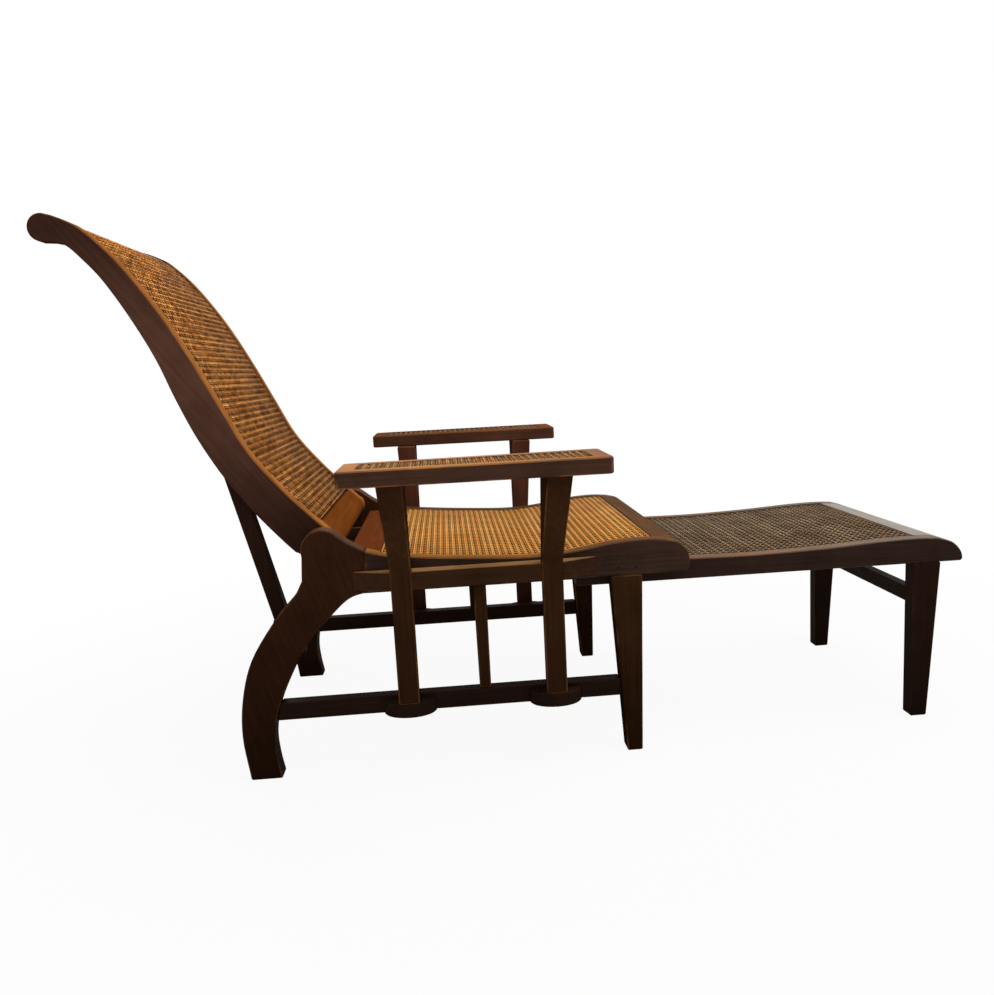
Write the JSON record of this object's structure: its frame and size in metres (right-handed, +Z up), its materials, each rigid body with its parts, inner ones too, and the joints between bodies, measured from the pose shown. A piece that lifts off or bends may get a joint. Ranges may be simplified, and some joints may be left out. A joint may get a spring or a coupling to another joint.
{
  "type": "steamer chair",
  "caption": "Caned steamer chair: curved hinged back held by a slotted prop, hollowed seat, flat caned arms on bracket posts, and a caned footrest that draws out on its own legs",
  "frame": {"origin": "on the floor, under the middle of the whole box with the footrest drawn out", "axes": "+X from the scrolled top of the back towards the footrest, +Y to the sitter's left, +Z up"},
  "size_m": [1.6837, 0.851, 1.0331],
  "materials": {
    "dark_hardwood": "polished, worn at the edges",
    "golden_cane": "woven cane",
    "aged_cane": "woven cane, darkened by use"
  },
  "bodies": {
    "frame": {"rear_leg_left": "dark_hardwood", "rear_leg_right": "dark_hardwood", "seat_rail_left": "dark_hardwood", "seat_rail_right": "dark_hardwood", "front_leg_left": "dark_hardwood", "front_leg_right": "dark_hardwood", "stretcher_left": "dark_hardwood", "stretcher_right": "dark_hardwood", "middle_post_left": "dark_hardwood", "middle_post_right": "dark_hardwood", "ledge_left": "dark_hardwood", "ledge_right": "dark_hardwood", "rear_post_left": "dark_hardwood", "rear_post_right": "dark_hardwood", "rear_post_block_left": "dark_hardwood", "rear_post_block_right": "dark_hardwood", "front_post_left": "dark_hardwood", "front_post_right": "dark_hardwood", "front_post_block_left": "dark_hardwood", "front_post_block_right": "dark_hardwood", "arm_left": "dark_hardwood", "arm_right": "dark_hardwood", "arm_cane_left": "golden_cane", "arm_cane_right": "golden_cane", "runner_left": "dark_hardwood", "runner_right": "dark_hardwood", "seat_rear_peg_left": "dark_hardwood", "seat_rear_peg_right": "dark_hardwood", "seat_front_peg_left": "dark_hardwood", "seat_front_peg_right": "dark_hardwood", "stretcher_peg_left": "dark_hardwood", "stretcher_peg_right": "dark_hardwood", "back_hinge_pin_left": "dark_hardwood", "back_hinge_pin_right": "dark_hardwood", "seat_front_rail": "dark_hardwood", "seat_rear_rail": "dark_hardwood", "seat_cane": "golden_cane", "prop_bar": "dark_hardwood"},
    "back": {"back_stile_left": "dark_hardwood", "back_stile_right": "dark_hardwood", "crest_rail": "dark_hardwood", "back_bottom_rail": "dark_hardwood", "back_cane": "golden_cane"},
    "prop": {"prop_strut_left": "dark_hardwood", "prop_strut_right": "dark_hardwood", "prop_rod": "dark_hardwood"},
    "footrest": {"footrest_rail_left": "dark_hardwood", "footrest_rail_right": "dark_hardwood", "footrest_tongue_left": "dark_hardwood", "footrest_tongue_right": "dark_hardwood", "footrest_leg_left": "dark_hardwood", "footrest_leg_right": "dark_hardwood", "footrest_front_rail": "dark_hardwood", "footrest_rear_rail": "dark_hardwood", "footrest_cane": "aged_cane", "footrest_stretcher": "dark_hardwood"}
  },
  "joints": [
    {"name": "back_recline", "type": "hinge", "parent": "frame", "child": "back", "pos_m": [-0.3912, 0, 0.428], "axis": [0, 1, 0], "range_deg": [0, 22]},
    {"name": "prop_swing", "type": "hinge", "parent": "back", "child": "prop", "pos_m": [-0.5662, 0, 0.615], "axis": [0, 1, 0], "range_deg": [-8.71, 0]},
    {"name": "footrest_slide", "type": "slide", "parent": "frame", "child": "footrest", "axis": [1, 0, 0], "range_m": [-0.46, 0]}
  ],
  "couplings": [
    {"joint": "prop_swing", "follows": "back_recline", "ratio": -0.39561}
  ]
}
